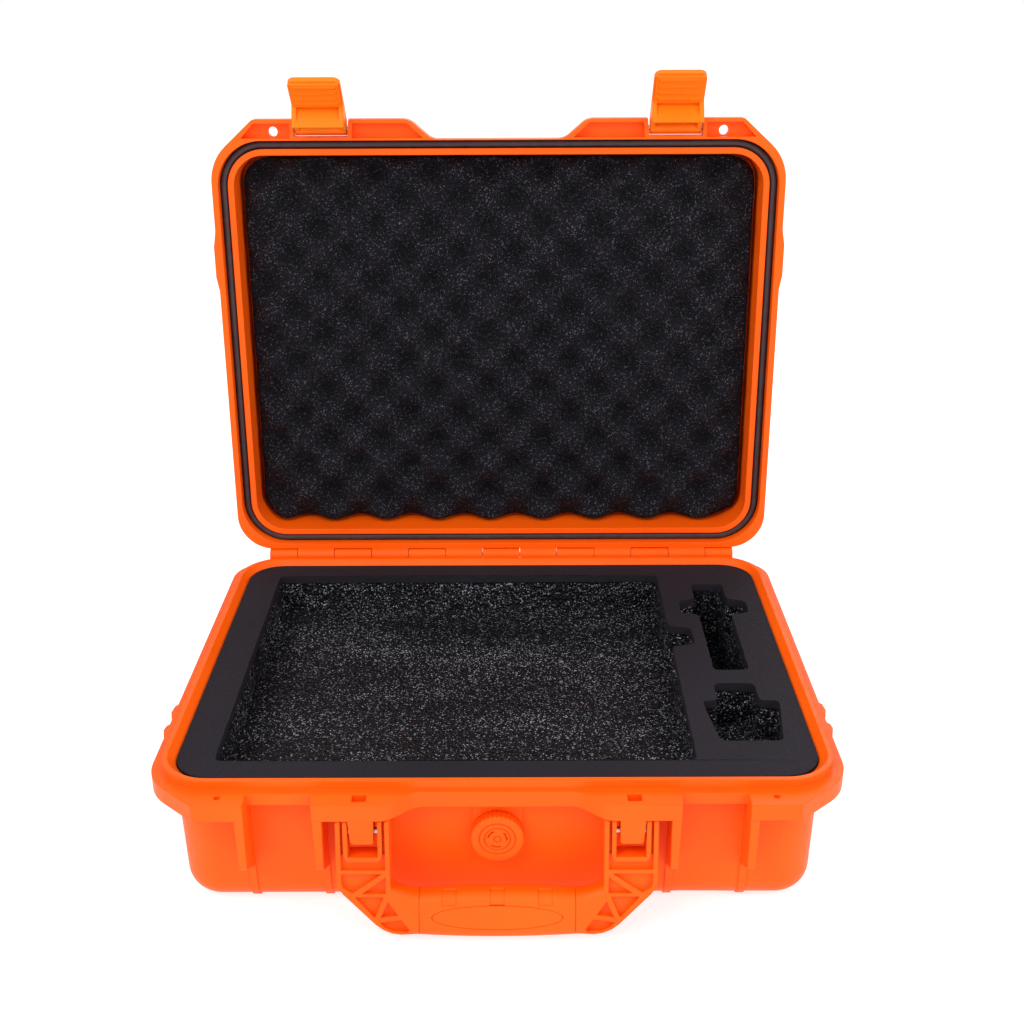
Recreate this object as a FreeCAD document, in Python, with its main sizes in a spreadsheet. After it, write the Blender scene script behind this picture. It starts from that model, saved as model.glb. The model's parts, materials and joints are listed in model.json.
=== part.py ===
"""Hard carrying case with a hinged lid, two latches, a folding handle and fitted foam.

Millimetres, +X right, +Y back, +Z up.  The origin is the centre of the face that the case
stands on.  The lid, the latches and the handle are drawn shut and then turned to their rest
pose: the lid wide open, the latches swung out and the handle leaning out from the wall.
"""
import math
import os

import FreeCAD, Part
import Sketcher
from FreeCAD import Placement, Rotation, Vector

SHEET = [
    ("hinge_y", 134.0, "hinge axis, behind the middle of the case"),
    ("hinge_z", 74.0, "hinge axis, above the underside"),
    ("open_angle", 92.8, "how far the lid leans back from shut, degrees"),
    ("seal_half_width", 160.0, "half the width of the seal's centre line"),
    ("seal_front", -119.8, "front run of the seal's centre line"),
    ("seal_back", 123.1, "back run of the seal's centre line"),
    ("seal_corner", 24.0, "corner radius of the seal's centre line"),
    ("flange_half_width", 166.0, "outside of both rims"),
    ("flange_front", -122.8, "front of the rims between the latch tabs"),
    ("tab_front", -134.0, "front of the latch tabs"),
    ("tab_inner", 51.0, "inner end of a latch tab"),
    ("tab_outer", 140.4, "outer end of a latch tab"),
    ("recess_inner", 86.4, "inner side of a latch recess"),
    ("recess_outer", 116.9, "outer side of a latch recess"),
    ("recess_rise", 2.4, "how far the rim is cut back from below in a latch recess"),
    ("recess_front", -124.4, "face at the back of a latch recess"),
    ("flange_rear", 128.9, "rear edge of both rims, between the hinge knuckles"),
    ("rear_corner", 22.0, "radius of the rims' rear corners"),
    ("tab_bend", 10.0, "radius of the bends beside the handle"),
    ("front_corner", 28.0, "radius of the rims' front corners"),
    ("base_flange_low", 63.0, "underside of the base rim"),
    ("base_flange_top", 71.5, "shelf outside the sealing ridge"),
    ("ridge_top", 76.5, "top of the sealing ridge"),
    ("ridge_half", 1.2, "half the ridge's width"),
    ("lead_in", 3.9, "fall of the sloped face inside the ridge"),
    ("wall_outside", 4.4, "tub face inside the seal line"),
    ("wall_inside", 5.2, "tub mouth inside the seal line"),
    ("cavity_inside", 7.4, "tub cavity inside the seal line"),
    ("heel", 14.0, "height where the tub's cavity steps in for the rounded underside"),
    ("lid_heel", 105.0, "height where the lid's cavity steps in for the rounded top"),
    ("heel_inside", 16.0, "narrower part of both cavities inside the seal line"),
    ("draft", 1.5, "draft of the outside walls, degrees"),
    ("floor", 3.0, "thickness of the base and lid panels"),
    ("bottom_round", 14.0, "radius round the underside"),
    ("lid_low", 72.0, "underside of the lid rim, shut"),
    ("lid_flange_top", 81.0, "top of the lid rim, shut"),
    ("lid_top", 118.0, "top of the lid, shut"),
    ("lid_round", 14.0, "radius round the lid's top"),
    ("lip_low", 76.1, "bottom of the lid's inner lip, shut"),
    ("lip_inside", 6.0, "inner face of the lip inside the seal line"),
    ("groove_half", 2.5, "half the width of the seal groove"),
    ("groove_top", 79.6, "roof of the seal groove, shut"),
    ("gasket_half", 1.7, "half the width of the gasket"),
    ("gasket_low", 76.9, "face of the gasket that meets the ridge"),
    ("tab_pocket", 5.0, "depth of the hollows under the lid tabs"),
    ("rib", 2.2, "thickness of the ribs round those hollows"),
    ("knuckle", 4.5, "radius of the hinge knuckles"),
    ("knuckle_pitch", 47.14, "distance between knuckles of one half"),
    ("base_knuckle", 23.4, "length of a base knuckle"),
    ("lid_knuckle", 23.1, "length of a lid knuckle"),
    ("end_knuckle_to", 147.0, "outer end of the outermost knuckles"),
    ("pin", 1.5, "radius of the hinge and latch pins"),
    ("running", 0.06, "radial clearance of a turning fit"),
    ("padlock_x", 129.5, "padlock holes from the middle"),
    ("padlock_y", -127.0, "padlock holes, front to back"),
    ("base_hole", 1.6, "radius of the small holes in the base's tabs"),
    ("padlock_hole", 2.8, "radius of the padlock holes in the lid"),
    ("gusset_low", 35.4, "front foot of the webs beside the latches"),
    ("gusset_foot", 25.0, "foot of those webs at the wall"),
    ("gusset_thick", 4.4, "thickness of those webs at the rim"),
    ("pivot_y", -129.0, "handle axis, front to back"),
    ("pivot_z", 54.5, "handle axis, above the underside"),
    ("lug_x", 62.8, "middle of a handle lug"),
    ("lug_half", 5.8, "half the width of a handle lug"),
    ("lug_depth", 4.9, "lug face in front of and behind the axis"),
    ("lug_drop", 4.5, "foot of a lug below the axis"),
    ("handle_pin", 1.6, "radius of the handle pins"),
    ("handle_lean", 10.0, "lean of the handle at rest, degrees"),
    ("arm_outer", 74.8, "outside of the handle"),
    ("arm_inner", 49.8, "inside of the handle arms"),
    ("arm_half", 5.5, "half the thickness of the handle arms"),
    ("arm_floor", 2.9, "face of the web between the arm's ribs, in front of the axis"),
    ("slot_inner", 55.3, "inner side of the slot in an arm"),
    ("slot_outer", 69.3, "outer side of the slot in an arm"),
    ("slot_floor", 11.1, "bottom of that slot, below the axis"),
    ("channel_floor", 1.9, "floor of the channels beside the slot, in front of the axis"),
    ("arm_rib", 2.2, "thickness of the ribs in the arms"),
    ("grip_end", 36.5, "half the length of the grip cover"),
    ("grip_top", 30.5, "grip top below the axis, at its ends"),
    ("grip_low", 51.6, "grip bottom below the axis, at its ends"),
    ("grip_crown", 1.2, "how much the grip swells at its middle"),
    ("grip_half", 7.2, "half the thickness of the grip"),
    ("grip_round", 5.4, "corner radius of the grip's section"),
    ("core_half", 3.5, "half the thickness of the bar in the grip"),
    ("core_top", 35.0, "top of the bar in the grip, below the axis"),
    ("core_low", 47.4, "bottom of the bar in the grip, below the axis"),
    ("badge_long", 30.8, "half the length of the oval inlay"),
    ("badge_short", 6.3, "half the height of the oval inlay"),
    ("badge_deep", 1.4, "depth of the oval recess"),
    ("latch_x", 101.5, "middle of a latch"),
    ("latch_half", 14.6, "half the width of a latch"),
    ("latch_pin_y", -128.5, "latch axis, front to back, shut"),
    ("latch_pin_z", 77.0, "latch axis, above the underside, shut"),
    ("latch_long", 37.0, "latch tip below its axis"),
    ("latch_face", 5.5, "latch face in front of its axis"),
    ("latch_plate", 3.0, "thickness of the latch's face"),
    ("latch_barrel", 3.6, "radius of the latch's barrel"),
    ("latch_open_left", 43.0, "how far the left latch stands open, degrees"),
    ("latch_open_right", 51.0, "how far the right latch stands open, degrees"),
    ("hook_drop", 12.1, "top of the hook below the latch axis"),
    ("hook_thick", 3.2, "thickness of the hook"),
    ("hook_reach", 9.4, "hook tip behind the latch axis"),
    ("valve_z", 44.0, "middle of the pressure valve"),
    ("valve_pad", 11.8, "radius of the raised pad round the valve"),
    ("pad_face", -116.3, "front of that pad"),
    ("knob", 12.7, "radius of the valve knob"),
    ("knob_thick", 5.4, "thickness of the valve knob"),
    ("knob_gap", 0.3, "gap behind the valve knob"),
    ("stem", 4.0, "radius of the valve stem"),
    ("foam_gap", 0.3, "gap between foam and wall"),
    ("face_foam_low", 69.0, "underside of the smooth top sheet"),
    ("upper_foam_low", 50.0, "underside of the upper foam"),
    ("lower_foam_low", 24.0, "underside of the lower foam"),
    ("foam_top", 74.0, "top of the foam in the base"),
    ("lid_foam_low", 86.0, "foam face in the lid, shut"),
    ("lid_foam_inside", 8.7, "lid foam edge inside the seal line"),
]

doc = FreeCAD.newDocument("CarryingCase")
sheet = doc.addObject("Spreadsheet::Sheet", "Case")
for row, (alias, size, meaning) in enumerate(SHEET, start=1):
    sheet.set(f"A{row}", meaning)
    sheet.set(f"B{row}", str(size))
    sheet.setAlias(f"B{row}", alias)
doc.recompute()


# ---------------------------------------------------------------- helpers
def number(expression):
    """The value of an expression over the sheet."""
    return float(sheet.evalExpression(expression))


def new_body(label):
    made = doc.addObject("PartDesign::Body", label)
    made.Label = label
    return made


def new_sketch(body, plane, lift="0"):
    """A sketch on one of the body's own origin planes, lifted along the plane's normal."""
    made = body.newObject("Sketcher::SketchObject", body.Label + "_sketch")
    base = [item for item in body.Origin.OriginFeatures if item.Role == plane][0]
    made.AttachmentSupport = [(base, "")]
    made.MapMode = "FlatFace"
    made.setExpression("AttachmentOffset.Base.z", lift)
    return made


def hold(sketch, kind, geometry, point, expression):
    """Fix one coordinate of a sketch point at an expression over the sheet."""
    rule = Sketcher.Constraint(kind, -1, 1, geometry, point, number(expression))
    index = sketch.addConstraint(rule)
    sketch.setExpression(f"Constraints[{index}]", expression)


def draw_polygon(sketch, points):
    """A closed outline of straight sides through pairs of expressions."""
    first = sketch.GeometryCount
    count = len(points)
    corners = [Vector(number(across), number(up), 0) for across, up in points]
    for step in range(count):
        side = Part.LineSegment(corners[step], corners[(step + 1) % count])
        sketch.addGeometry(side, False)
    for step in range(count):
        joined = Sketcher.Constraint("Coincident", first + step, 2, first + (step + 1) % count, 1)
        sketch.addConstraint(joined)
    for step, (across, up) in enumerate(points):
        hold(sketch, "DistanceX", first + step, 1, across)
        hold(sketch, "DistanceY", first + step, 1, up)


def draw_rounded(sketch, left, right, low, high, radius):
    """A rectangle with four equal round corners; all five sizes are expressions."""
    first = sketch.GeometryCount
    x0, x1, y0, y1, bend = [number(size) for size in (left, right, low, high, radius)]
    centres = [(x1 - bend, y0 + bend), (x1 - bend, y1 - bend), (x0 + bend, y1 - bend),
               (x0 + bend, y0 + bend)]
    for turn, (across, up) in enumerate(centres):
        start = math.radians(90 * turn - 90)
        circle = Part.Circle(Vector(across, up, 0), Vector(0, 0, 1), bend)
        sketch.addGeometry(Part.ArcOfCircle(circle, start, start + math.pi / 2), False)
        last_up = Vector(across + bend * math.cos(start + math.pi / 2),
                         up + bend * math.sin(start + math.pi / 2), 0)
        following = centres[(turn + 1) % 4]
        begin = start + math.pi / 2
        next_start = Vector(following[0] + bend * math.cos(begin),
                            following[1] + bend * math.sin(begin), 0)
        sketch.addGeometry(Part.LineSegment(last_up, next_start), False)
    for step in range(8):
        link = Sketcher.Constraint("Tangent", first + step, 2, first + (step + 1) % 8, 1)
        sketch.addConstraint(link)
    sketch.addConstraint(Sketcher.Constraint("Vertical", first + 1))
    sketch.addConstraint(Sketcher.Constraint("Horizontal", first + 3))
    size = sketch.addConstraint(Sketcher.Constraint("Radius", first, bend))
    sketch.setExpression(f"Constraints[{size}]", radius)
    for step in (2, 4, 6):
        sketch.addConstraint(Sketcher.Constraint("Equal", first, first + step))
    hold(sketch, "DistanceX", first + 1, 1, right)
    hold(sketch, "DistanceY", first + 3, 1, high)
    hold(sketch, "DistanceX", first + 5, 1, left)
    hold(sketch, "DistanceY", first + 7, 1, low)


def draw_circle(sketch, across, up, radius):
    """A circle whose centre and radius are expressions."""
    centre = Vector(number(across), number(up), 0)
    index = sketch.addGeometry(Part.Circle(centre, Vector(0, 0, 1), number(radius)), False)
    size = sketch.addConstraint(Sketcher.Constraint("Radius", index, number(radius)))
    sketch.setExpression(f"Constraints[{size}]", radius)
    hold(sketch, "DistanceX", index, 3, across)
    hold(sketch, "DistanceY", index, 3, up)


def draw_ring(sketch, offset):
    """The seal's rounded rectangle, moved outwards by an expression."""
    side = f"(Case.seal_half_width + ({offset}))"
    draw_rounded(sketch, f"-{side}", side, f"Case.seal_front - ({offset})",
                 f"Case.seal_back + ({offset})", f"Case.seal_corner + ({offset})")


def extrude(kind, body, sketch, length, backwards=False, both_ways=False, taper=None):
    """A Pad or a Pocket of the sketch, with its length bound to the sheet."""
    made = body.newObject("PartDesign::" + kind, body.Label + "_" + kind.lower())
    made.Profile = sketch
    made.Reversed = backwards
    if both_ways:
        made.SideType = "Symmetric"
    made.setExpression("Length", length)
    if taper:
        made.setExpression("TaperAngle", taper)
    sketch.Visibility = False
    return made


def pad(body, sketch, length, **options):
    return extrude("Pad", body, sketch, length, **options)


def pocket(body, sketch, length, **options):
    return extrude("Pocket", body, sketch, length, **options)


def slab(body, offset, low, high, **options):
    """A pad with the seal's outline, between two heights."""
    sketch = new_sketch(body, "XY_Plane", low)
    draw_ring(sketch, offset)
    return pad(body, sketch, f"({high}) - ({low})", **options)


def hollow(body, offset, low, high):
    """A pocket with the seal's outline, cut between two heights."""
    sketch = new_sketch(body, "XY_Plane", high)
    draw_ring(sketch, offset)
    return pocket(body, sketch, f"({high}) - ({low})")


def prism(kind, body, plane, start, end, points):
    """A straight-sided pad or pocket between two places along the plane's normal."""
    sketch = new_sketch(body, plane, start if kind == "Pad" else end)
    draw_polygon(sketch, points)
    return extrude(kind, body, sketch, f"({end}) - ({start})")


def box_points(left, right, low, high):
    return [(left, low), (right, low), (right, high), (left, high)]


def drill(body, plane, middle, length, across, up, radius):
    """A round hole through the body, centred on a place along the plane's normal."""
    sketch = new_sketch(body, plane, middle)
    draw_circle(sketch, across, up, radius)
    return pocket(body, sketch, length, both_ways=True)


def mirror(body, features):
    """Copy right-hand features to the left."""
    made = body.newObject("PartDesign::Mirrored", body.Label + "_mirror")
    made.Originals = features
    side = [item for item in body.Origin.OriginFeatures if item.Role == "YZ_Plane"][0]
    made.MirrorPlane = (side, [""])
    body.Tip = made
    return made


def round_edges(body, radius, chosen):
    """Round the edges of the body so far that a test accepts."""
    doc.recompute()
    base = body.Tip
    edges = [f"Edge{count}" for count, edge in enumerate(base.Shape.Edges, start=1)
             if chosen(edge)]
    made = body.newObject("PartDesign::Fillet", body.Label + "_round")
    made.Base = (base, edges)
    made.setExpression("Radius", radius)
    return made


def level_edge(height):
    """A test for edges that lie at one height."""
    level = number(height)
    return lambda edge: (abs(edge.BoundBox.ZMin - level) < 0.01
                         and abs(edge.BoundBox.ZMax - level) < 0.01)


def upright_edge(places):
    """A test for upright edges at certain places, on both sides of the middle."""
    spots = [(number(across), number(along)) for across, along in places]

    def chosen(edge):
        box = edge.BoundBox
        thin = box.XLength < 0.01 and box.YLength < 0.01
        return thin and any(abs(abs(box.XMin) - across) < 0.05 and abs(box.YMin - along) < 0.05
                            for across, along in spots)
    return chosen


def rod(label, radius, length, middle, along, height, carrier=Placement()):
    """A round pin along X, centred on a point given by expressions."""
    made = doc.addObject("Part::Cylinder", label)
    made.Label = label
    made.setExpression("Radius", radius)
    made.setExpression("Height", length)
    start = Vector(number(f"{middle} - ({length}) / 2"), number(along), number(height))
    made.Placement = carrier * Placement(start, Rotation(Vector(0, 1, 0), 90))
    return made


def turn_about(angle, axis_y, axis_z):
    """A turn about an axis parallel to X through a point."""
    centre = Vector(0, number(axis_y), number(axis_z))
    spin = Rotation(Vector(1, 0, 0), angle)
    return Placement(Vector(0, 0, 0), spin, centre)


LID_OPEN = turn_about(-number("Case.open_angle"), "Case.hinge_y", "Case.hinge_z")
HANDLE_LEAN = turn_about(-number("Case.handle_lean"), "Case.pivot_y", "Case.pivot_z")


# places of the knuckles along the hinge, counted in knuckle pitches from the middle
SIDES = (("left", -1), ("right", 1))
CENTRES = (-2, -1, 0, 1, 2)
BETWEEN = (-2.5, -1.5, -0.5, 0.5, 1.5, 2.5)


# ---------------------------------------------------------------- both shells
def rim_outline(rear):
    """The outline that both rims share, from the back round the front."""
    right = [("Case.flange_half_width", rear),
             ("Case.flange_half_width", "Case.tab_front + 23"),
             ("Case.tab_outer", "Case.tab_front"),
             ("Case.recess_outer", "Case.tab_front"),
             ("Case.recess_outer", "Case.recess_front"),
             ("Case.recess_inner", "Case.recess_front"),
             ("Case.recess_inner - 1.1", "Case.tab_front"),
             ("Case.tab_inner", "Case.tab_front"),
             ("Case.tab_inner - 13", "Case.flange_front")]
    left = [(f"-({across})", along) for across, along in reversed(right)]
    return right + left


def rim_plate(body, low, high):
    """The flange round a shell, with its corners rounded."""
    sketch = new_sketch(body, "XY_Plane", low)
    draw_polygon(sketch, rim_outline("Case.flange_rear"))
    pad(body, sketch, f"{high} - {low}")
    outline = rim_outline("Case.flange_rear")
    round_edges(body, "Case.rear_corner", upright_edge(outline[:1]))
    round_edges(body, "Case.front_corner", upright_edge(outline[1:2]))
    round_edges(body, "3", upright_edge(outline[2:3]))
    round_edges(body, "Case.tab_bend", upright_edge(outline[7:9]))


def hinge_barrel(body, half_length, web_low, web_high, gap, places):
    """A row of hinge knuckles: one barrel and its web, with the other half's places cut out."""
    web = new_sketch(body, "XY_Plane", web_low)
    draw_polygon(web, box_points(f"-({half_length})", half_length, "Case.flange_rear - 1",
                                 "Case.hinge_y"))
    pad(body, web, f"{web_high} - ({web_low})")
    barrel = new_sketch(body, "YZ_Plane")
    draw_circle(barrel, "Case.hinge_y", "Case.hinge_z", "Case.knuckle")
    pad(body, barrel, f"2 * ({half_length})", both_ways=True)
    gaps = new_sketch(body, "XY_Plane", "Case.hinge_z + 10")
    for place in places:
        middle = f"{place} * Case.knuckle_pitch"
        draw_polygon(gaps, box_points(f"{middle} - ({gap}) / 2", f"{middle} + ({gap}) / 2",
                                      "Case.flange_rear", "Case.hinge_y + 6"))
    pocket(body, gaps, "20")


# ---------------------------------------------------------------- base shell
def add_gusset(body, near, far):
    """A web from the rim down to the wall beside a latch, and the low band below it.

    near and far are the web's two sides; it narrows towards its foot, which slopes.
    """
    wall = "Case.seal_front + Case.wall_outside"
    front = "Case.tab_front + 0.3"
    web = prism("Pad", body, "XZ_Plane", f"-({wall}) - 2", f"-({front})",
                [(f"{near} + 0.3", "Case.gusset_foot"), (f"{far} - 0.7", "Case.gusset_foot"),
                 (far, "Case.base_flange_low + 1"), (near, "Case.base_flange_low + 1")])
    slope = prism("Pocket", body, "YZ_Plane", f"{near} - 1", f"{far} + 1",
                  [(f"{front} - 1", "Case.gusset_foot - 1"),
                   (f"{wall} - 1.2", "Case.gusset_foot - 1"),
                   (f"{wall} - 1.2", "Case.gusset_foot + 0.6"),
                   (f"{front} + 1.4", "Case.gusset_low - 0.5"),
                   (front, "Case.gusset_low + 0.8"), (f"{front} - 1", "Case.gusset_low + 0.8")])
    # the band follows the wall down and round the underside's corner
    lean = math.tan(math.radians(number("Case.draft")))
    reach = f"({wall}) + (Case.base_flange_low - Case.bottom_round) * {lean:.5f}"
    turn = []
    for step in range(6):
        angle = math.radians(13.5 * step)
        turn.append((f"{reach} + Case.bottom_round - (Case.bottom_round + 0.8) * {math.cos(angle):.5f}",
                     f"Case.bottom_round - (Case.bottom_round + 0.8) * {math.sin(angle):.5f}"))
    band = prism("Pad", body, "YZ_Plane", f"{near} + 0.2", f"{far} - 0.6",
                 [(f"{wall} - 0.2", "Case.gusset_foot + 3")] + turn
                 + [(f"{reach} + Case.bottom_round", "Case.floor"),
                    (f"{reach} + 1.6", "Case.bottom_round"),
                    (f"{wall} + 1.6", "Case.gusset_foot + 3")])
    return [web, slope, band]


def make_base_shell():
    body = new_body("base_shell")
    tub = new_sketch(body, "XY_Plane", "Case.base_flange_low")
    draw_ring(tub, "-Case.wall_outside")
    pad(body, tub, "Case.base_flange_low", backwards=True, taper="-Case.draft")
    round_edges(body, "Case.bottom_round", level_edge("0"))
    rim_plate(body, "Case.base_flange_low", "Case.base_flange_top")
    slab(body, "Case.ridge_half", "Case.base_flange_top", "Case.ridge_top")
    hinge_barrel(body, "Case.end_knuckle_to", "Case.base_flange_low + 4",
                 "Case.base_flange_top", "Case.knuckle_pitch - Case.base_knuckle",
                 BETWEEN)
    # right-hand features, copied to the left
    right = add_gusset(body, "Case.recess_outer", "Case.recess_outer + Case.gusset_thick")
    right += add_gusset(body, "Case.recess_inner - 1.1 - Case.gusset_thick",
                        "Case.recess_inner - 1.1")
    right.append(prism("Pad", body, "XZ_Plane", "-Case.pivot_y - Case.lug_depth",
                       "-Case.pivot_y + Case.lug_depth",
                       [("Case.lug_x - Case.lug_half", "Case.base_flange_low + 1"),
                        ("Case.lug_x - Case.lug_half + 0.3", "Case.pivot_z - 3.6"),
                        ("Case.lug_x - Case.lug_half + 1.3", "Case.pivot_z - Case.lug_drop"),
                        ("Case.lug_x + Case.lug_half - 1.6", "Case.pivot_z - Case.lug_drop"),
                        ("Case.lug_x + Case.lug_half - 0.4", "Case.pivot_z - 3.4"),
                        ("Case.lug_x + Case.lug_half + 0.4", "Case.base_flange_low + 1")]))
    # the strap loop on the side: two ears with a slot between them
    for near, far in (("-54.5", "-38.5"), ("-71.5", "-57.7")):
        right.append(prism("Pad", body, "XY_Plane", "Case.base_flange_low + 1",
                           "Case.base_flange_top - 1.5",
                           [("Case.flange_half_width - 2", near),
                            ("Case.flange_half_width + 1.4", near),
                            ("Case.flange_half_width + 2.6", f"({near}) + 5"),
                            ("Case.flange_half_width + 2", f"({far}) - 5"),
                            ("Case.flange_half_width - 2", far)]))
    right.append(drill(body, "XY_Plane", "Case.base_flange_top", "40", "Case.padlock_x",
                       "Case.padlock_y", "Case.base_hole"))
    right.append(prism("Pocket", body, "XY_Plane", "Case.base_flange_top - 4",
                       "Case.base_flange_top",
                       box_points("Case.lug_x - 2.4", "Case.lug_x + 4.2", "Case.tab_front + 3.6",
                                  "Case.tab_front + 9")))
    # the rim is thinner over the latch hooks
    right.append(prism("Pocket", body, "XY_Plane", "Case.base_flange_low - 0.5",
                       "Case.base_flange_low + Case.recess_rise",
                       box_points("Case.recess_inner - 1.1", "Case.recess_outer",
                                  "Case.tab_front - 1",
                                  "Case.seal_front + Case.wall_outside - 0.8")))
    right.append(drill(body, "YZ_Plane", "Case.lug_x", "Case.lug_half * 4", "Case.pivot_y",
                       "Case.pivot_z", "Case.handle_pin + Case.running"))
    mirror(body, right)
    # raised pad and bore for the pressure valve
    prism("Pad", body, "XZ_Plane", "-Case.pad_face - 4", "-Case.pad_face",
          box_points("-Case.valve_pad", "Case.valve_pad", "Case.valve_z",
                     "Case.base_flange_low + 1"))
    disc = new_sketch(body, "XZ_Plane", "-Case.pad_face - 4")
    draw_circle(disc, "0", "Case.valve_z", "Case.valve_pad")
    pad(body, disc, "4")
    # hinge pin bore
    drill(body, "YZ_Plane", "0", "Case.end_knuckle_to * 3", "Case.hinge_y", "Case.hinge_z",
          "Case.pin + Case.running / 2")
    # slots under the lid's knuckles
    slots = new_sketch(body, "XY_Plane", "Case.base_flange_top + 1")
    for place in BETWEEN:
        for side in (-1, 1):
            middle = f"{place} * Case.knuckle_pitch + {side} * 7.6"
            draw_polygon(slots, box_points(f"{middle} - 3.6", f"{middle} + 3.6",
                                           "Case.flange_rear - 1.7", "Case.flange_rear + 1"))
    pocket(body, slots, "Case.base_flange_top - Case.base_flange_low + 2")
    # the mouth, the sloped lead-in and the cavity
    lead_in = new_sketch(body, "XY_Plane", "Case.ridge_top")
    draw_ring(lead_in, "Case.lead_in - Case.wall_inside")
    pocket(body, lead_in, "Case.lead_in", taper="-45")
    hollow(body, "-Case.wall_inside", "Case.face_foam_low - 1", "Case.ridge_top + 1")
    hollow(body, "-Case.cavity_inside", "Case.heel", "Case.face_foam_low")
    hollow(body, "-Case.heel_inside", "Case.floor", "Case.heel + 1")
    drill(body, "XZ_Plane", "-Case.pad_face", "16", "0", "Case.valve_z",
          "Case.stem + Case.running")
    return body


# ---------------------------------------------------------------- lid shell
def make_lid_shell():
    body = new_body("lid_shell")
    crown = new_sketch(body, "XY_Plane", "Case.lid_flange_top - 1")
    draw_ring(crown, "-Case.groove_half")
    pad(body, crown, "Case.lid_top - Case.lid_flange_top + 1", taper="-Case.draft")
    round_edges(body, "Case.lid_round", level_edge("Case.lid_top"))
    rim_plate(body, "Case.lid_low", "Case.lid_flange_top")
    hinge_barrel(body, "2.5 * Case.knuckle_pitch + Case.lid_knuckle / 2", "Case.lid_low",
                 "Case.lid_flange_top - 2.5", "Case.knuckle_pitch - Case.lid_knuckle", CENTRES)
    right = [prism("Pad", body, "XY_Plane", "Case.lid_low", "Case.lid_flange_top - 1",
                   [("Case.flange_half_width - 2", "-71"),
                    ("Case.flange_half_width", "-71"),
                    ("Case.flange_half_width + 1.5", "-62"),
                    ("Case.flange_half_width + 1.5", "-44"),
                    ("Case.flange_half_width", "-36"),
                    ("Case.flange_half_width - 2", "-36")])]
    # hollows under the two tabs beside each latch
    roof = "Case.lid_low + Case.tab_pocket"
    right.append(prism("Pocket", body, "XY_Plane", "Case.lid_low - 1", roof,
                       [("Case.recess_outer + Case.rib", "Case.tab_front + Case.rib"),
                        ("Case.tab_outer - 0.8", "Case.tab_front + Case.rib"),
                        ("Case.tab_outer + 7", "Case.recess_front + 0.8"),
                        ("Case.recess_outer + Case.rib", "Case.recess_front + 0.8")]))
    right.append(prism("Pocket", body, "XY_Plane", "Case.lid_low - 1", roof,
                       [("Case.tab_inner + 1.2", "Case.tab_front + Case.rib"),
                        ("Case.recess_inner - 1.1 - Case.rib", "Case.tab_front + Case.rib"),
                        ("Case.recess_inner - 0.4 - Case.rib", "Case.recess_front + 0.8"),
                        ("Case.tab_inner - 8", "Case.recess_front + 0.8")]))
    right.append(drill(body, "XY_Plane", "Case.lid_low", "40", "Case.padlock_x",
                       "Case.padlock_y", "Case.padlock_hole"))
    right.append(drill(body, "YZ_Plane", "Case.latch_x", "2 * (Case.latch_half + 3.4)",
                       "Case.latch_pin_y", "Case.latch_pin_z", "Case.pin"))
    mirror(body, right)
    hollow(body, "-Case.lip_inside", "Case.lid_low - 1", "Case.lid_heel")
    hollow(body, "-Case.heel_inside", "Case.lid_heel - 1", "Case.lid_top - Case.floor")
    hollow(body, "-Case.groove_half", "Case.lid_low - 1", "Case.lip_low")
    groove = new_sketch(body, "XY_Plane", "Case.groove_top")
    draw_ring(groove, "Case.groove_half")
    draw_ring(groove, "-Case.groove_half")
    pocket(body, groove, "Case.groove_top - Case.lid_low + 1")
    drill(body, "YZ_Plane", "0", "Case.end_knuckle_to * 3", "Case.hinge_y", "Case.hinge_z",
          "Case.pin + Case.running")
    body.Placement = LID_OPEN
    return body


# ---------------------------------------------------------------- foam and seal
FOAM_EDGE = "-Case.cavity_inside - Case.foam_gap"


def cut_main_pocket(body, low, high):
    """The wide hollow and its finger notch."""
    prism("Pocket", body, "XY_Plane", low, high,
          [("-136", "-100.5"), ("96", "-100.5"), ("96", "12"), ("109", "14"), ("109", "34"),
           ("96", "36"), ("96", "103"), ("-136", "103")])


def cut_deep_pocket(body, low, high):
    """The narrow hollow with a finger notch on each side."""
    prism("Pocket", body, "XY_Plane", low, high,
          [("115.5", "-14.5"), ("134.5", "-14.5"), ("134.5", "50"), ("145", "52"),
           ("145", "68"), ("134.5", "70"), ("134.5", "90"), ("115.5", "90"), ("115.5", "70"),
           ("105.5", "68"), ("105.5", "52"), ("115.5", "50")])


def cut_small_pocket(body, low, high):
    """The stepped hollow at the front corner."""
    prism("Pocket", body, "XY_Plane", low, high,
          [("109.4", "-84"), ("140.3", "-84"), ("145", "-46"), ("134.8", "-46"),
           ("134.8", "-28.5"), ("113.3", "-28.5"), ("113.3", "-46"), ("105", "-46")])


def cut_valve_relief(body):
    """Room in the foam for the nut behind the pressure valve."""
    prism("Pocket", body, "XZ_Plane", "107", "114",
          box_points("-9", "9", "Case.valve_z - 9", "Case.valve_z + 9"))


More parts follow.
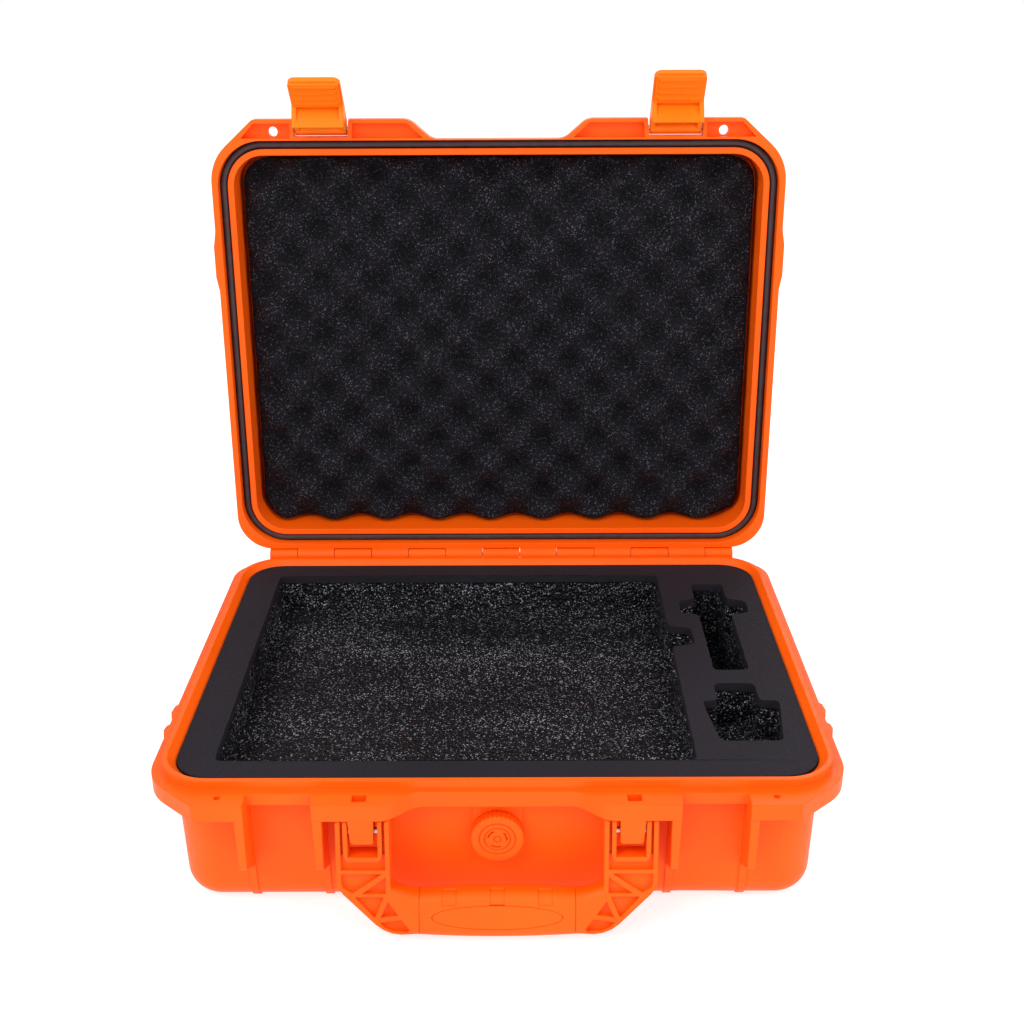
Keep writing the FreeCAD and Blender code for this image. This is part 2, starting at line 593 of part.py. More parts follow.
def make_base_foams():
    face = new_body("base_foam_face")
    slab(face, "-Case.wall_inside - Case.foam_gap", "Case.face_foam_low", "Case.foam_top")
    upper = new_body("base_foam_upper")
    slab(upper, FOAM_EDGE, "Case.upper_foam_low", "Case.face_foam_low")
    for body in (face, upper):
        cut_main_pocket(body, "Case.upper_foam_low - 1", "Case.foam_top + 1")
        cut_deep_pocket(body, "Case.upper_foam_low - 1", "Case.foam_top + 1")
        cut_small_pocket(body, "Case.upper_foam_low - 1", "Case.foam_top + 1")
    lower = new_body("base_foam_lower")
    slab(lower, FOAM_EDGE, "Case.lower_foam_low", "Case.upper_foam_low")
    # the finger notches end above this layer
    prism("Pocket", lower, "XY_Plane", "Case.lower_foam_low - 1", "Case.upper_foam_low + 1",
          box_points("115.5", "134.5", "-14.5", "90"))
    cut_valve_relief(upper)
    cut_valve_relief(lower)
    bottom = new_body("base_foam_floor")
    slab(bottom, FOAM_EDGE, "Case.heel", "Case.lower_foam_low")
    slab(bottom, "-Case.heel_inside - Case.foam_gap", "Case.floor", "Case.heel")
    return [face, upper, lower, bottom]


def make_lid_foam():
    body = new_body("lid_foam")
    slab(body, "-Case.lid_foam_inside", "Case.lid_foam_low", "Case.lid_heel")
    slab(body, "-Case.heel_inside - Case.foam_gap", "Case.lid_heel",
         "Case.lid_top - Case.floor")
    body.Placement = LID_OPEN
    return body


def make_lid_gasket():
    body = new_body("lid_gasket")
    sketch = new_sketch(body, "XY_Plane", "Case.gasket_low")
    draw_ring(sketch, "Case.gasket_half")
    draw_ring(sketch, "-Case.gasket_half")
    pad(body, sketch, "Case.groove_top - Case.gasket_low")
    body.Placement = LID_OPEN
    return body


# ---------------------------------------------------------------- latches
def make_latch(name, side):
    """A latch lever: face, two cheeks, barrel, hook and finger ribs.  side is 1 or -1."""
    body = new_body(f"latch_lever_{name}")
    middle = f"{side} * Case.latch_x"
    left, right = f"{middle} - Case.latch_half", f"{middle} + Case.latch_half"
    front = "Case.latch_pin_y - Case.latch_face"
    inside = f"{front} + Case.latch_plate"
    tip = "Case.latch_pin_z - Case.latch_long"
    hook = "Case.latch_pin_z - Case.hook_drop"

    def layer(start, end, points):
        return prism("Pad", body, "YZ_Plane", start, end, points)
    layer(left, right, box_points(front, inside, tip, "Case.latch_pin_z - 0.5"))
    round_edges(body, "4", lambda edge: (abs(edge.BoundBox.ZMin - number(tip)) < 0.01
                                         and edge.BoundBox.YLength > 2
                                         and edge.BoundBox.ZLength < 0.01))
    barrel = new_sketch(body, "YZ_Plane", middle)
    draw_circle(barrel, "Case.latch_pin_y", "Case.latch_pin_z", "Case.latch_barrel")
    pad(body, barrel, "2 * Case.latch_half", both_ways=True)
    layer(left, right, box_points(front, "Case.latch_pin_y", "Case.latch_pin_z - 4.3",
                                  "Case.latch_pin_z"))
    cheek = [(front, "Case.latch_pin_z"), ("Case.latch_pin_y + 3.1", "Case.latch_pin_z - 1"),
             ("Case.latch_pin_y + 3.1", f"{hook} + 0.4"), ("Case.latch_pin_y + 7", f"{hook} - 1.4"),
             ("Case.latch_pin_y + 3.4", f"{hook} - 3.6"), (inside, f"{hook} - 6"),
             (front, f"{hook} - 6")]
    layer(left, f"{left} + 2.6", cheek)
    layer(f"{right} - 2.6", right, cheek)
    # the hook under the cheeks catches the base's rim
    layer(left, right,
          [(front, hook), ("Case.latch_pin_y + Case.hook_reach", hook),
           ("Case.latch_pin_y + Case.hook_reach", f"{hook} - 1"),
           ("Case.latch_pin_y + 4", f"{hook} - Case.hook_thick * 0.7"),
           (f"{inside} + 0.6", f"{hook} - Case.hook_thick"), (front, f"{hook} - Case.hook_thick")])
    # a thicker finger pad with four cross ribs
    layer(f"{left} + 0.9", f"{right} - 0.9",
          box_points(front, f"{inside} + 1.6", f"{tip} + 1.2", "Case.latch_pin_z - 17.4"))
    for count in range(4):
        low = f"{tip} + 2.4 + {count} * 4.4"
        layer(f"{left} + 2.6", f"{right} - 2.6", box_points(inside, f"{inside} + 2.2", low,
                                                            f"{low} + 1.7"))
    drill(body, "YZ_Plane", middle, "4 * Case.latch_half", "Case.latch_pin_y",
          "Case.latch_pin_z", "Case.pin + Case.running")
    angle = number(f"Case.latch_open_{name}")
    body.Placement = LID_OPEN * turn_about(-angle, "Case.latch_pin_y", "Case.latch_pin_z")
    return body


# ---------------------------------------------------------------- handle
def below(depth):
    """A height given as a distance below the handle's axis."""
    return f"Case.pivot_z - ({depth})"


def make_handle_frame():
    body = new_body("handle_frame")
    plane, back = "XZ_Plane", "-Case.pivot_y - Case.arm_half"
    front = "-Case.pivot_y + Case.arm_half"
    # one arm with its bend towards the grip; everything is copied to the left
    mirror(body, [prism("Pad", body, plane, back, front, arm_outline())])
    bar = new_sketch(body, "YZ_Plane")
    draw_polygon(bar, box_points("Case.pivot_y - Case.core_half",
                                 "Case.pivot_y + Case.core_half",
                                 below("Case.core_low"), below("Case.core_top")))
    pad(body, bar, "2 * (Case.grip_end + 3)", both_ways=True)
    for side in (-1, 1):
        grip_shoulder(body, side)
    features = [prism("Pocket", body, plane, f"-Case.pivot_y + {depth}", f"{front} + 4", points)
                for depth, points in arm_cells()]
    # the lug's slot right through each arm, open at the top
    features.append(prism("Pocket", body, plane, f"{back} - 1", f"{front} + 1",
                          box_points("Case.slot_inner", "Case.slot_outer",
                                     below("Case.slot_floor"), below("-9"))))
    for start, end in (("Case.arm_inner", "Case.slot_inner"),
                       ("Case.slot_outer", "Case.arm_outer")):
        # a heel on the arm's top meets the rim and keeps the handle off the wall
        features.append(prism("Pad", body, "YZ_Plane", start, end,
                              [("Case.pivot_y", below("-6")),
                               ("Case.pivot_y + Case.arm_half", below("-6")),
                               ("Case.pivot_y + Case.arm_half", below("-9.4")),
                               ("Case.pivot_y + 0.6", below("-8.2"))]))
    mirror(body, features)
    edge_y = number("Case.pivot_y - Case.arm_half")
    edge_z = number(below("-7.9"))
    round_edges(body, "3.4", lambda edge: (abs(edge.BoundBox.YMin - edge_y) < 0.01
                                           and edge.BoundBox.YLength < 0.01
                                           and abs(edge.BoundBox.ZMin - edge_z) < 0.01
                                           and edge.BoundBox.ZLength < 0.01))
    drill(body, "YZ_Plane", "0", "2 * Case.arm_outer + 10", "Case.pivot_y", "Case.pivot_z",
          "Case.handle_pin")
    body.Placement = HANDLE_LEAN
    return body


def arm_outline():
    """The right-hand arm seen from the front, down to its bend into the grip."""
    inner, outer = "Case.arm_inner", "Case.arm_outer"
    return [(inner, below("-7.9")), (outer, below("-7.9")), (outer, below("24")),
            (f"{outer} - 0.8", below("27")), (f"{outer} - 2.8", below("29.8")),
            (f"{outer} - 17.6", below("45.4")), (f"{outer} - 21.2", below("48.2")),
            (f"{outer} - 25.4", below("50")), (f"{outer} - 29.6", below("50.6")),
            ("Case.grip_end + 2", below("50.2")), ("Case.grip_end + 2", below("44")),
            (f"{inner} - 6.6", below("38.6")), (f"{inner} - 2.8", below("33.8")),
            (f"{inner} - 0.8", below("29.4")), (inner, below("25"))]


def arm_cells():
    """The hollows between the ribs of the right-hand arm: the depth of each and its outline."""
    rib, web, deep = "Case.arm_rib", "Case.arm_floor", "Case.channel_floor"
    inner, outer = f"Case.arm_inner + {rib}", f"Case.arm_outer - {rib}"
    slot_in, slot_out = "Case.slot_inner - 2", "Case.slot_outer + 2.1"
    return [
        # a narrow channel on each side of the slot's rim
        (deep, box_points(inner, slot_in, below("10.4"), below("-9"))),
        (deep, box_points(slot_out, outer, below("10.4"), below("-9"))),
        # below the slot's rim
        (web, [(inner, below("10")), (slot_in, below("10")), (f"{slot_in} + 0.8", below("12.4")),
               (f"{slot_in} + 2.6", below("13.4")), (f"{slot_out} - 2.6", below("13.4")),
               (f"{slot_out} - 0.8", below("12.4")), (slot_out, below("10")),
               (outer, below("10")), (outer, below("17.6")), (inner, below("17.6"))]),
        # the five cells of the truss
        (web, [(f"{inner} + 1.6", below("19.5")), (outer, below("19.5")), (outer, below("24.2")),
               (f"{outer} - 0.8", below("26.6")), (f"{outer} - 4.8", below("29.3"))]),
        (web, [(inner, below("21.2")), (f"{inner} + 11.2", below("29.6")),
               (inner, below("29.6"))]),
        (web, [(f"{outer} - 6", below("31.3")), (f"{inner} + 1.2", below("31.3")),
               (f"{inner} + 5", below("41.2")), (f"{inner} + 5.8", below("41.8"))]),
        (web, [(f"{inner} - 0.9", below("33.8")), (f"{inner} - 3.6", below("37.6")),
               (f"{inner} - 5.6", below("40.5")), (f"{inner} + 2.8", below("42"))]),
        (web, [(f"{inner} + 3.2", below("44.6")), (f"{inner} - 7", below("42.6")),
               (f"{inner} - 10.8", below("47.6")), (f"{inner} - 9.6", below("49.3")),
               (f"{inner} - 2.6", below("48.8")), (f"{inner} + 1", below("47"))]),
    ]


def grip_section(body, place, crown, half="Case.grip_half", top="Case.grip_top",
                 low="Case.grip_low", bend="Case.grip_round"):
    """The grip's rounded section at a place along its length."""
    sketch = new_sketch(body, "YZ_Plane", place)
    draw_rounded(sketch, f"Case.pivot_y - {half}", f"Case.pivot_y + {half}",
                 below(f"{low} + {crown}"), below(f"{top} - {crown}"), bend)
    sketch.Visibility = False
    return sketch


def grip_shoulder(body, side):
    """The swelling between an arm and the grip cover."""
    near = grip_section(body, f"{side} * (Case.grip_end + 0.15)", "0")
    middle = grip_section(body, f"{side} * (Case.grip_end + 6.4)", "0", half="6.5",
                          top="29.6", low="51.4", bend="4.8")
    far = grip_section(body, f"{side} * (Case.arm_inner + 1)", "0", half="Case.arm_half - 0.1",
                       top="26", low="49.6", bend="2.5")
    made = body.newObject("PartDesign::AdditiveLoft", "shoulder")
    made.Profile = near
    made.Sections = [middle, far]
    return made


def make_grip_cover():
    body = new_body("handle_grip_cover")
    sections = [grip_section(body, "-Case.grip_end", "0"),
                grip_section(body, "0", "Case.grip_crown"),
                grip_section(body, "Case.grip_end", "0")]
    made = body.newObject("PartDesign::AdditiveLoft", "sleeve")
    made.Profile = sections[0]
    made.Sections = sections[1:]
    inner = new_sketch(body, "YZ_Plane")
    gap = "0.1"
    draw_polygon(inner, box_points(f"Case.pivot_y - Case.core_half - {gap}",
                                   f"Case.pivot_y + Case.core_half + {gap}",
                                   below(f"Case.core_low + {gap}"),
                                   below(f"Case.core_top - {gap}")))
    pocket(body, inner, "4 * Case.grip_end", both_ways=True)
    for place, top in (("-22.5", "29.7"), ("0", "29.3"), ("22.5", "29.7")):
        cut_thumb_notch(body, place, top)
    seat = new_sketch(body, "XZ_Plane", "-Case.pivot_y + Case.grip_half - Case.badge_deep")
    draw_oval(seat, "Case.badge_long", "Case.badge_short")
    pocket(body, seat, "Case.badge_deep + 1", backwards=True)
    body.Placement = HANDLE_LEAN
    return body


def cut_thumb_notch(body, place, top):
    """A shallow band cut over the grip's front top corner; top is the grip's top there."""
    outline = []
    for radius, angles in (("Case.grip_round - 0.45", range(0, 106, 15)),
                           ("Case.grip_round + 3", (105, 70, 35, 0))):
        for angle in angles:
            across, up = math.cos(math.radians(angle)), math.sin(math.radians(angle))
            outline.append((f"Case.pivot_y - Case.grip_half + Case.grip_round - ({radius}) * {across:.5f}",
                            below(f"{top} + Case.grip_round - ({radius}) * {up:.5f}")))
    prism("Pocket", body, "YZ_Plane", f"({place}) - 3.4", f"({place}) + 3.4", outline)


def draw_oval(sketch, half_long, half_short):
    """An oval at the middle of the grip, twice as wide as the badge is long."""
    middle = number(below("Case.grip_low / 2 + Case.grip_top / 2"))
    long, short = number(half_long), number(half_short)
    sketch.addGeometry(Part.Ellipse(Vector(long, middle, 0), Vector(0, middle + short, 0),
                                    Vector(0, middle, 0)), False)
    sketch.addConstraint(Sketcher.Constraint("Block", 0))


def make_badge():
    body = new_body("handle_badge")
    sketch = new_sketch(body, "XZ_Plane", "-Case.pivot_y + Case.grip_half - Case.badge_deep")
    draw_oval(sketch, "Case.badge_long - 0.25", "Case.badge_short - 0.25")
    pad(body, sketch, "Case.badge_deep")
    body.Placement = HANDLE_LEAN
    return body


# ---------------------------------------------------------------- pressure valve
def make_valve_knob():
    body = new_body("valve_knob")
    back = "-Case.pad_face + Case.knob_gap"
    disc = new_sketch(body, "XZ_Plane", back)
    draw_circle(disc, "0", "Case.valve_z", "Case.knob")
    pad(body, disc, "Case.knob_thick")
    front = number("Case.pad_face - Case.knob_gap - Case.knob_thick")
    round_edges(body, "0.9", lambda edge: abs(edge.BoundBox.YMin - front) < 0.01
                and edge.BoundBox.YLength < 0.01)
    # shallow ring grooves and three arc grooves on the face
    for outer, inner in (("8.9", "8.3"), ("6.4", "5.9"), ("1.9", "1.5")):
        ring = new_sketch(body, "XZ_Plane", f"{back} + Case.knob_thick")
        draw_circle(ring, "0", "Case.valve_z", outer)
        draw_circle(ring, "0", "Case.valve_z", inner)
        pocket(body, ring, "0.5")
    for turn in range(3):
        arc = new_sketch(body, "XZ_Plane", f"{back} + Case.knob_thick")
        draw_arc_slot(arc, 4.9, 4.1, 120 * turn - 10, 120 * turn + 50)
        pocket(body, arc, "1.2")
    # flutes round the rim
    flutes = new_sketch(body, "XZ_Plane", back)
    for count in range(36):
        angle = math.radians(10 * count)
        draw_circle(flutes, f"(Case.knob + 0.35) * {math.cos(angle):.5f}",
                    f"Case.valve_z + (Case.knob + 0.35) * {math.sin(angle):.5f}", "0.75")
    pocket(body, flutes, "Case.knob_thick + 1", backwards=True)
    return body


def draw_arc_slot(sketch, outer, inner, start, end):
    """A slot between two radii and two angles round the valve's middle."""
    middle = Vector(0, number("Case.valve_z"), 0)
    begin, finish = math.radians(start), math.radians(end)
    up = Vector(0, 0, 1)

    def at(radius, angle):
        return middle + Vector(radius * math.cos(angle), radius * math.sin(angle), 0)
    for radius in (outer, inner):
        sketch.addGeometry(Part.ArcOfCircle(Part.Circle(middle, up, radius), begin, finish))
    for angle in (begin, finish):
        sketch.addGeometry(Part.LineSegment(at(inner, angle), at(outer, angle)))
    for index in range(4):
        sketch.addConstraint(Sketcher.Constraint("Block", index))


def make_valve_parts():
    stem = new_body("valve_stem")
    shaft = new_sketch(stem, "XZ_Plane", "108.2")
    draw_circle(shaft, "0", "Case.valve_z", "Case.stem")
    pad(stem, shaft, "-Case.pad_face + Case.knob_gap - 108.2")
    nut = new_body("valve_nut")
    ring = new_sketch(nut, "XZ_Plane", "108.9")
    corners = [(f"8.2 * {math.cos(math.radians(60 * turn)):.5f}",
                f"Case.valve_z + 8.2 * {math.sin(math.radians(60 * turn)):.5f}")
               for turn in range(6)]
    draw_polygon(ring, corners)
    draw_circle(ring, "0", "Case.valve_z", "Case.stem + Case.running")
    pad(nut, ring, "-Case.seal_front - Case.cavity_inside - 108.9")
    seal = new_body("valve_seal")
    washer = new_sketch(seal, "XZ_Plane", "-Case.pad_face")
    draw_circle(washer, "0", "Case.valve_z", "8")
    draw_circle(washer, "0", "Case.valve_z", "5")
    pad(seal, washer, "Case.knob_gap - 0.05")
    return [stem, nut, seal]


# ---------------------------------------------------------------- pins
def make_pins():
    pins = [rod("hinge_pin", "Case.pin", "2 * Case.end_knuckle_to", "0", "Case.hinge_y",
                "Case.hinge_z")]
    for name, side in SIDES:
        pins.append(rod(f"handle_pin_{name}", "Case.handle_pin",
                        "Case.arm_outer - Case.arm_inner",
                        f"{side} * (Case.arm_inner + Case.arm_outer) / 2",
                        "Case.pivot_y", "Case.pivot_z"))
        pins.append(rod(f"latch_pin_{name}", "Case.pin", "2 * Case.latch_half + 6.4",
                        f"{side} * Case.latch_x", "Case.latch_pin_y", "Case.latch_pin_z",
                        carrier=LID_OPEN))
    return pins


# ---------------------------------------------------------------- build and write
def main():
    made = [make_base_shell(), make_lid_shell(), make_lid_foam(), make_lid_gasket()]
    made += make_base_foams()
    made += [make_latch(name, side) for name, side in SIDES]
    made += [make_handle_frame(), make_grip_cover(), make_badge(), make_valve_knob()]
    made += make_valve_parts()
    made += make_pins()
    doc.recompute()
    for thing in doc.Objects:
        if "Invalid" in thing.State or "Error" in thing.State:
            raise RuntimeError(f"{thing.Label} failed: {thing.State}")
    for thing in made:
        shape = thing.Shape
        if shape.isNull() or not shape.isValid() or len(shape.Solids) != 1:
            raise RuntimeError(f"{thing.Label} is not one valid solid")
    os.makedirs("parts", exist_ok=True)
    for thing in made:
        thing.Shape.exportStep(f"parts/{thing.Label}.step")
        print(f"{thing.Label}: {thing.Shape.Volume / 1000:.2f} cc")


main()
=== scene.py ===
"""The open carrying case: looks, foam pieces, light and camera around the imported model."""
import json
import math

import bmesh
import bpy
from mathutils import Matrix, Vector, geometry, noise


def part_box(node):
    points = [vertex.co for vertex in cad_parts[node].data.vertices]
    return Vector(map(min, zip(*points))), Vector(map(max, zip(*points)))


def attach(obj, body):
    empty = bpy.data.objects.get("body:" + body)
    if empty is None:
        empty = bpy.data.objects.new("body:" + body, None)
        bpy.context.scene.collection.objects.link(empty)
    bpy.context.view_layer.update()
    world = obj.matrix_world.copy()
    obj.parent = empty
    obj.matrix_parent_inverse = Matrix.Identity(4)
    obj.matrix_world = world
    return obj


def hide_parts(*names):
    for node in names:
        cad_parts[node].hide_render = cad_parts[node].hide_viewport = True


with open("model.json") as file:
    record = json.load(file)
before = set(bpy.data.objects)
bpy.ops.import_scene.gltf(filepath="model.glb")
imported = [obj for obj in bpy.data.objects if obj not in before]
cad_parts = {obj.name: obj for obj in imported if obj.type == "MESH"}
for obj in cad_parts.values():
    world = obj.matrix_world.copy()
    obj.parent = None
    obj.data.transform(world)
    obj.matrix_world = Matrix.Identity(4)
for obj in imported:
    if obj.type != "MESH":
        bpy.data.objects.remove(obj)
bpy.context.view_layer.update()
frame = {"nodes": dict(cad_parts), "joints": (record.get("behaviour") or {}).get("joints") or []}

MM = 0.001
NODES = frame["nodes"]
SCENE = bpy.context.scene


# ---------------------------------------------------------------- places read from the frame
def node_box(name):
    """Lowest and highest corner of a CAD node."""
    low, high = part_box(name)
    return Vector(low), Vector(high)


def joint(name):
    """A joint's entry in the frame."""
    return [item for item in frame["joints"] if item["name"] == name][0]


LID_HINGE = joint("lid_hinge")
HINGE_POINT = Vector(LID_HINGE["pos_m"])
OPEN_ANGLE = math.radians(LID_HINGE["range_deg"][1])
# takes a point of the shut lid to where the open lid holds it
LID_OPEN = (Matrix.Translation(HINGE_POINT) @ Matrix.Rotation(-OPEN_ANGLE, 4, "X")
            @ Matrix.Translation(-HINGE_POINT))


# ---------------------------------------------------------------- material helpers
# a noise texture seldom leaves this stretch of its values
NOISE_SPAN = {"start": 0.3, "end": 0.7}
# the mix node's sockets for colours share their names with others, so they go by number
MIX_FACTOR, MIX_FIRST_COLOUR, MIX_SECOND_COLOUR = 0, 6, 7
MIX_COLOUR_RESULT = 2


class Shade:
    """A new material with its principled shader and a few shorthands for nodes."""

    def __init__(self, name):
        self.material = bpy.data.materials.new(name)
        self.material.use_nodes = True
        self.tree = self.material.node_tree
        self.shader = self.tree.nodes["Principled BSDF"]
        self.place = self.node("ShaderNodeTexCoord").outputs["Object"]

    def node(self, kind, **values):
        made = self.tree.nodes.new(kind)
        for key, value in values.items():
            setattr(made, key, value)
        return made

    def link(self, source, target):
        self.tree.links.new(source, target)

    def noise(self, scale, detail=4.0, roughness=0.5, stretch=None):
        made = self.node("ShaderNodeTexNoise")
        made.inputs["Scale"].default_value = scale
        made.inputs["Detail"].default_value = detail
        made.inputs["Roughness"].default_value = roughness
        self.link(self.stretched(stretch), made.inputs["Vector"])
        return made.outputs["Fac"]

    def voronoi(self, scale):
        made = self.node("ShaderNodeTexVoronoi", feature="F1")
        made.inputs["Scale"].default_value = scale
        self.link(self.place, made.inputs["Vector"])
        return made

    def cells(self, scale):
        """Distance from the middle of each cell."""
        return self.voronoi(scale).outputs["Distance"]

    def grains(self, scale):
        """A different random value in each cell, from 0 to 1."""
        parts = self.node("ShaderNodeSeparateColor")
        self.link(self.voronoi(scale).outputs["Color"], parts.inputs["Color"])
        return parts.outputs["Red"]

    def stretched(self, stretch):
        """Object coordinates, scaled by stretch along each axis."""
        if stretch is None:
            return self.place
        made = self.node("ShaderNodeMapping")
        made.inputs["Scale"].default_value = stretch
        self.link(self.place, made.inputs["Vector"])
        return made.outputs["Vector"]

    def ramp(self, source, stops):
        """A colour ramp over source; stops are (place, colour) pairs."""
        made = self.node("ShaderNodeValToRGB")
        elements = made.color_ramp.elements
        while len(elements) < len(stops):
            elements.new(0.5)
        for element, (place, colour) in zip(elements, stops):
            element.position = place
            element.color = (*colour, 1.0)
        self.link(source, made.inputs["Fac"])
        return made.outputs["Color"]

    def spread(self, source, low, high, start=0.0, end=1.0):
        """Source, which runs from start to end, brought to run from low to high."""
        made = self.node("ShaderNodeMapRange")
        made.inputs["From Min"].default_value = start
        made.inputs["From Max"].default_value = end
        made.inputs["To Min"].default_value = low
        made.inputs["To Max"].default_value = high
        self.link(source, made.inputs["Value"])
        return made.outputs["Result"]

    def add(self, first, second):
        made = self.node("ShaderNodeMath", operation="ADD")
        self.link(first, made.inputs[0])
        self.link(second, made.inputs[1])
        return made.outputs["Value"]

    def multiply(self, first, second):
        """One colour times another."""
        made = self.node("ShaderNodeMix", data_type="RGBA", blend_type="MULTIPLY")
        made.inputs[MIX_FACTOR].default_value = 1.0
        self.link(first, made.inputs[MIX_FIRST_COLOUR])
        self.link(second, made.inputs[MIX_SECOND_COLOUR])
        return made.outputs[MIX_COLOUR_RESULT]

    def bump(self, height, depth, under=None):
        """Bumps of a depth in metres; under is another bump's normal."""
        made = self.node("ShaderNodeBump")
        made.inputs["Strength"].default_value = 1.0
        made.inputs["Distance"].default_value = depth
        self.link(height, made.inputs["Height"])
        if under is not None:
            self.link(under, made.inputs["Normal"])
        return made.outputs["Normal"]

    def soft_edge(self, radius):
        """Normals that round every edge off by a radius in metres."""
        made = self.node("ShaderNodeBevel", samples=6)
        made.inputs["Radius"].default_value = radius
        return made.outputs["Normal"]

    def set(self, **values):
        """Link or set the shader's inputs, and hand back the material."""
        for key, value in values.items():
            socket = self.shader.inputs[key.replace("_", " ")]
            if hasattr(value, "is_linked"):
                self.link(value, socket)
            else:
                socket.default_value = value
        return self.material


# ---------------------------------------------------------------- materials
def plastic(name, deep, bright, edge=0.0006):
    """Injection-moulded plastic with a fine spark-eroded grain and faint flow marks."""
    shade = Shade(name)
    flow = shade.noise(14.0, detail=3.0)
    grain = shade.noise(2600.0, detail=2.0)
    scuffs = shade.noise(60.0, detail=6.0, stretch=(1.0, 6.0, 6.0))
    colour = shade.ramp(flow, [(0.35, deep), (0.65, bright)])
    normal = shade.soft_edge(edge)
    normal = shade.bump(grain, 0.00006, under=normal)
    return shade.set(Base_Color=colour, Roughness=shade.spread(scuffs, 0.36, 0.5, **NOISE_SPAN),
                     Normal=normal, Specular_IOR_Level=0.18)


def sheet_foam():
    """Smooth closed-cell sheet: fine pores and a soft bloom."""
    shade = Shade("smooth_sheet_foam")
    cloud = shade.noise(9.0, detail=5.0)
    pores = shade.cells(1500.0)
    fine = shade.noise(900.0, detail=3.0)
    colour = shade.ramp(cloud, [(0.3, (0.0088, 0.0064, 0.0108)), (0.7, (0.0130, 0.0102, 0.0155))])
    normal = shade.bump(fine, 0.00010, under=shade.soft_edge(0.0007))
    normal = shade.bump(pores, 0.00005, under=normal)
    return shade.set(Base_Color=colour, Roughness=shade.spread(fine, 0.72, 0.9, **NOISE_SPAN),
                     Normal=normal, Specular_IOR_Level=0.25)


def cut_foam():
    """Rough cut polyethylene: torn cells, near black, with painted glints: bright grains in uneven
    bands in the base colour stand in for light glinting off the cells.
    """
    shade = Shade("cut_foam")
    cells = shade.cells(620.0)
    torn = shade.noise(420.0, detail=6.0, roughness=0.65)
    bands = shade.noise(15.0, detail=5.0, roughness=0.6, stretch=(0.45, 2.4, 1.0))
    tone_and_painted_glints = shade.add(shade.grains(1700.0), shade.spread(bands, -0.05, 0.05, **NOISE_SPAN))
    # painted glints: the ramp's bright top end puts glint-like light grains into the base colour; the
    # lower stops are the foam's own dark tone
    colour = shade.ramp(tone_and_painted_glints, [(0.50, (0.0006, 0.0006, 0.0018)), (0.78, (0.0040, 0.0038, 0.0068)),
                                 (0.90, (0.022, 0.022, 0.029)), (1.0, (0.34, 0.34, 0.38))])
    normal = shade.bump(torn, 0.0007)
    normal = shade.bump(cells, 0.0009, under=normal)
    return shade.set(Base_Color=colour, Roughness=shade.spread(bands, 0.4, 0.65, **NOISE_SPAN),
                     Normal=normal, Specular_IOR_Level=0.22)


def crate_foam():
    """Open-cell foam: near black, with painted shade darkening the valleys and painted sparkle in
    fine light flecks.
    """
    shade = Shade("egg_crate_foam")
    pores = shade.cells(1300.0)
    fine = shade.noise(1100.0, detail=4.0, roughness=0.6)
    cloud = shade.noise(40.0, detail=4.0)
    # the foam's own near-black tone, with its brightest grains as painted sparkle standing for light
    # glinting off the cells
    colour_and_painted_sparkle = shade.ramp(shade.grains(1700.0),
                        [(0.3, (0.0030, 0.0025, 0.0046)), (0.75, (0.0095, 0.0085, 0.0128)),
                         (0.92, (0.022, 0.021, 0.028)), (1.0, (0.11, 0.11, 0.13))])
    rise = shade.node("ShaderNodeAttribute", attribute_name="rise").outputs["Fac"]
    # painted shade: the valleys' colour is darkened by their depth to stand for the shade that falls
    # in them
    valley_painted_shade = shade.ramp(rise, [(0.1, (0.55, 0.55, 0.57)), (0.6, (1.0, 1.0, 1.0))])
    normal = shade.bump(fine, 0.0006)
    normal = shade.bump(pores, 0.0005, under=normal)
    return shade.set(Base_Color=shade.multiply(colour_and_painted_sparkle, valley_painted_shade),
                     Roughness=shade.spread(cloud, 0.75, 0.95, **NOISE_SPAN),
                     Normal=normal, Specular_IOR_Level=0.16)


def seal_rubber():
    """Dull dark rubber with a little dust."""
    shade = Shade("seal_rubber")
    dust = shade.noise(180.0, detail=5.0)
    colour = shade.ramp(dust, [(0.35, (0.030, 0.019, 0.024)), (0.7, (0.048, 0.034, 0.039))])
    return shade.set(Base_Color=colour, Roughness=shade.spread(dust, 0.45, 0.62, **NOISE_SPAN),
                     Normal=shade.bump(shade.noise(1400.0), 0.00005))


def steel():
    """Drawn steel wire, with fine lines along it."""
    shade = Shade("drawn_steel")
    lines = shade.noise(500.0, detail=3.0, stretch=(0.05, 3.0, 3.0))
    colour = shade.ramp(lines, [(0.3, (0.45, 0.45, 0.47)), (0.7, (0.66, 0.66, 0.68))])
    return shade.set(Base_Color=colour, Metallic=1.0,
                     Roughness=shade.spread(lines, 0.22, 0.36, **NOISE_SPAN),
                     Normal=shade.bump(lines, 0.00002))


def nylon():
    """Black nylon of the valve's nut."""
    shade = Shade("black_nylon")
    grain = shade.noise(900.0)
    colour = shade.ramp(grain, [(0.3, (0.015, 0.015, 0.016)), (0.7, (0.025, 0.025, 0.027))])
    return shade.set(Base_Color=colour, Roughness=shade.spread(grain, 0.4, 0.55),
                     Normal=shade.bump(grain, 0.00004, under=shade.soft_edge(0.0003)))


ORANGE = plastic("orange_shell", (0.95, 0.101, 0.0012), (1.0, 0.116, 0.0018), edge=0.0008)
HANDLE_ORANGE = plastic("orange_handle", (0.96, 0.102, 0.0015), (1.0, 0.118, 0.002), edge=0.0010)
# painted highlight: the latches take the shell orange painted lighter, standing for the light that
# falls on their faces
LATCH_ORANGE_PAINTED_LIT = plastic("orange_latch_painted_lit", (0.97, 0.17, 0.002), (1.0, 0.195, 0.003), edge=0.0008)
SHEET_FOAM = sheet_foam()
CUT_FOAM = cut_foam()
CRATE_FOAM = crate_foam()
RUBBER = seal_rubber()
STEEL = steel()
NYLON = nylon()

